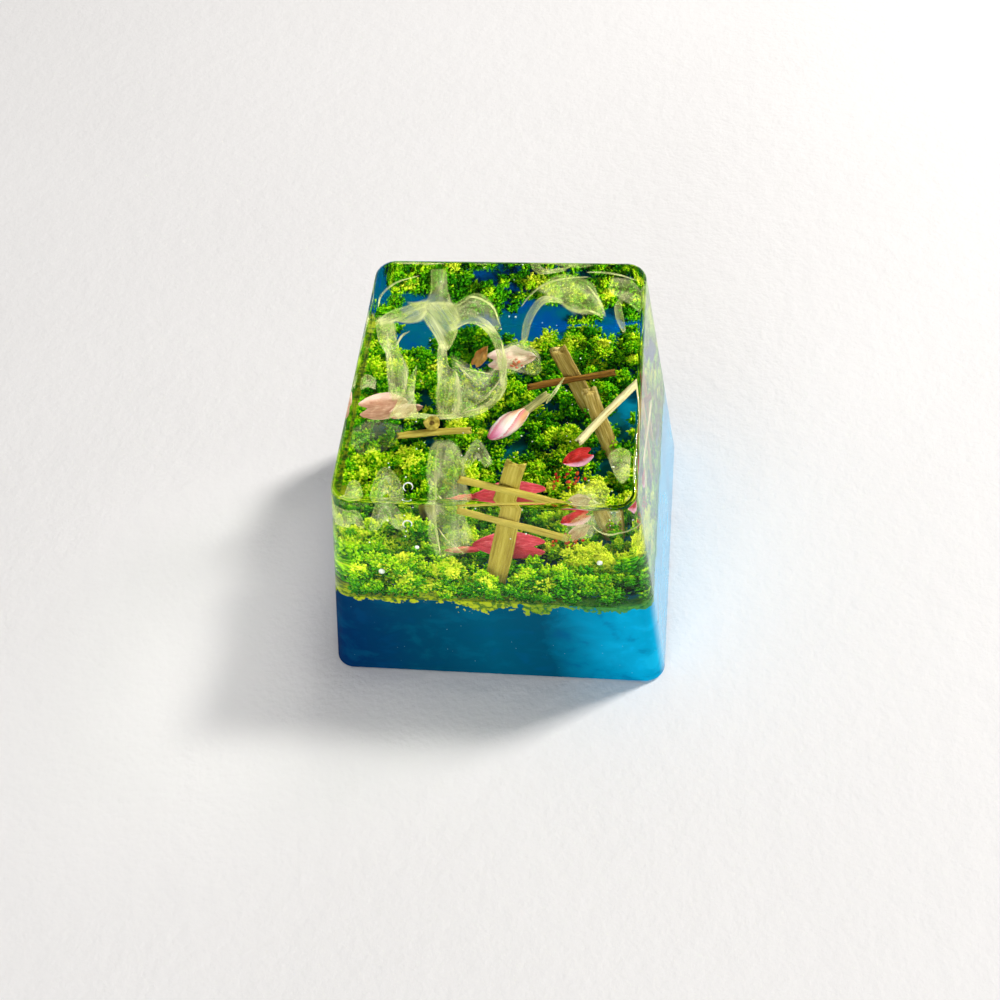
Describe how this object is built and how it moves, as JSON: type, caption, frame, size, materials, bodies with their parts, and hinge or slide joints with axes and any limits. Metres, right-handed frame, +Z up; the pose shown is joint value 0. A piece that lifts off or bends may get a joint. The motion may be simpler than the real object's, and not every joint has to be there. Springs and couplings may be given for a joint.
{
  "type": "keycap",
  "caption": "Square keyboard keycap of clear resin over a blue resin base, with small wooden crosses, petals, moss and white veils cast inside; hollow below with a cross socket.",
  "frame": {"origin": "middle of the rim, on the surface that the cap stands on", "axes": "+Z up, -Y towards the typist, +X to the typist's right"},
  "size_m": [0.0182, 0.0182, 0.0147],
  "materials": {
    "clear_resin": "clear cast resin, polished",
    "blue_resin": "deep translucent blue cast resin with a pearly shimmer, polished",
    "tan_wood": "raw split wood",
    "dark_wood": "dark raw split wood",
    "pale_wood": "pale raw split wood",
    "moss": "dried moss, soft and crumbly",
    "red_petal": "dried petal",
    "pink_petal": "dried petal",
    "bud": "dried flower bud",
    "bud_stem": "dried stem",
    "white_veil": "thin cloudy white resin"
  },
  "bodies": {
    "root": {"blue_base": "blue_resin", "bud_stem": "bud_stem", "clear_body": "clear_resin", "cross_back_bar": "dark_wood", "cross_back_stake": "dark_wood", "cross_front_bar": "tan_wood", "cross_front_stake": "tan_wood", "cross_left_bar": "tan_wood", "cross_left_stake": "tan_wood", "cross_right_bar": "pale_wood", "cross_right_stake": "pale_wood", "flower_bud": "bud", "moss_1": "moss", "moss_10": "moss", "moss_11": "moss", "moss_12": "moss", "moss_13": "moss", "moss_14": "moss", "moss_15": "moss", "moss_16": "moss", "moss_17": "moss", "moss_18": "moss", "moss_19": "moss", "moss_2": "moss", "moss_20": "moss", "moss_21": "moss", "moss_22": "moss", "moss_23": "moss", "moss_24": "moss", "moss_25": "moss", "moss_26": "moss", "moss_27": "moss", "moss_3": "moss", "moss_4": "moss", "moss_5": "moss", "moss_6": "moss", "moss_7": "moss", "moss_8": "moss", "moss_9": "moss", "petal_back": "pink_petal", "petal_corner": "pink_petal", "petal_front": "red_petal", "petal_left": "pink_petal", "petal_right": "red_petal", "veil_back": "white_veil", "veil_front": "white_veil", "veil_left": "white_veil", "veil_right": "white_veil", "veil_side": "white_veil"}
  },
  "joints": []
}
